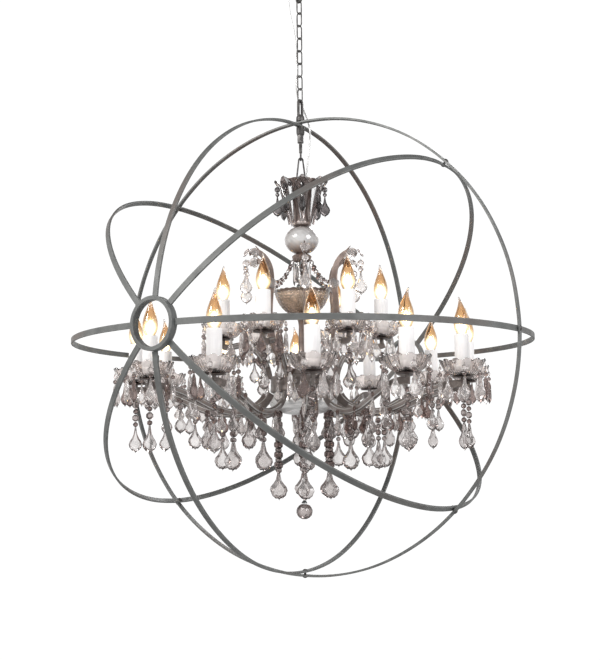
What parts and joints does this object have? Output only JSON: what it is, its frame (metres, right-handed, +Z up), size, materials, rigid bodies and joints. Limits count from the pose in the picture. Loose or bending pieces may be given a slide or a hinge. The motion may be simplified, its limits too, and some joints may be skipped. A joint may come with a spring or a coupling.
{
  "type": "orb chandelier",
  "caption": "Flat-bar iron orb hung on a link chain, with a crystal chandelier of candle lamps on two tiers of curved arms hung inside it.",
  "frame": {"origin": "centre of the ceiling plate's top face, on the hanging axis", "axes": "+Z up into the ceiling; the orb's two hub rings are on -Y and +Y; X lies along the third pair of crossings"},
  "size_m": [1.1234, 1.1154, 1.4967],
  "materials": {
    "orb_iron": "weathered grey iron, satin",
    "aged_iron": "dark aged iron",
    "plate_steel": "zinc-plated steel",
    "bronze": "brown bronze, satin",
    "dark_bronze": "dark bronze, satin",
    "brushed_silver": "spun and brushed, bright",
    "crystal": "clear cut crystal",
    "smoky_crystal": "lightly smoked cut crystal",
    "bowl_glass": "fluted smoky brown glass",
    "candle_white": "white, matte",
    "amber_glass": "clear glass, amber tinted to the tip",
    "filament_glass": "glowing filament on a glass stem",
    "cap_metal": "plated screw cap",
    "black_plastic": "black heat-resistant plastic",
    "clear_plastic": "translucent nylon",
    "clear_cord": "clear jacket over silver strands"
  },
  "bodies": {
    "ceiling": {"ceiling_plate": "plate_steel", "ceiling_loop": "aged_iron", "loop_nuts": "plate_steel", "canopy_cup": "orb_iron", "canopy_collar": "aged_iron", "cord_bushing": "clear_plastic", "terminal_block": "black_plastic"},
    "chain": {"chain_links": "aged_iron", "cord_upper": "clear_cord", "cord_middle": "clear_cord"},
    "orb": {"top_eye": "aged_iron", "pole_block": "orb_iron", "coupling_nut": "aged_iron", "lower_eye": "aged_iron", "equator_arcs": "orb_iron", "meridian_arcs": "orb_iron", "diagonal_arcs_left": "orb_iron", "diagonal_arcs_right": "orb_iron", "cross_ring": "orb_iron", "hub_rings": "orb_iron", "ring_rivets": "aged_iron", "cord_lower": "clear_cord"},
    "middle_drop": {"middle_string": "crystal", "finial_cap": "bronze", "finial_ball": "crystal"},
    "chandelier": {"arm_glass": "crystal", "arm_hub": "bronze", "arm_pendants": "smoky_crystal", "ball_caps": "bronze", "bead_swags": "smoky_crystal", "bobeches": "crystal", "bowl_spacer": "bronze", "bulb_caps": "cap_metal", "bulbs": "amber_glass", "candle_sleeves": "candle_white", "centre_tube": "plate_steel", "column_loop": "aged_iron", "crook_hub": "bronze", "crook_pendants": "crystal", "crook_straps": "bronze", "crown_cup": "bronze", "crown_pendants": "smoky_crystal", "crown_petals": "crystal", "crown_terminal": "black_plastic", "dish_nut": "bronze", "drip_discs": "dark_bronze", "filaments": "filament_glass", "glass_ball": "crystal", "hanging_link": "aged_iron", "hub_dish": "brushed_silver", "lampholders": "black_plastic", "lower_arms": "bronze", "pendant_pins": "aged_iron", "rim_pendants": "crystal", "rosettes": "crystal", "side_strings": "smoky_crystal", "stem_cover": "brushed_silver", "top_bowl": "bowl_glass", "upper_arms": "bronze", "wiring_loom": "black_plastic"}
  },
  "joints": [
    {"name": "chain_swing", "type": "hinge", "parent": "ceiling", "child": "chain", "pos_m": [0, 0, -0.0654], "axis": [0.9778, -0.2096, 0], "range_deg": [-12, 12], "deforming": ["cord_upper"]},
    {"name": "orb_swing", "type": "hinge", "parent": "chain", "child": "orb", "pos_m": [0, 0, -0.3225], "axis": [0.2096, 0.9778, 0], "range_deg": [-12, 12], "deforming": ["cord_middle"]},
    {"name": "chandelier_swing", "type": "hinge", "parent": "orb", "child": "chandelier", "pos_m": [0, 0, -0.4756], "axis": [0.5432, -0.8396, 0], "range_deg": [-6, 6], "deforming": ["cord_lower"]},
    {"name": "string_swing", "type": "hinge", "parent": "chandelier", "child": "middle_drop", "pos_m": [0, 0, -1.131], "axis": [0.5432, -0.8396, 0], "range_deg": [-8, 8]}
  ]
}
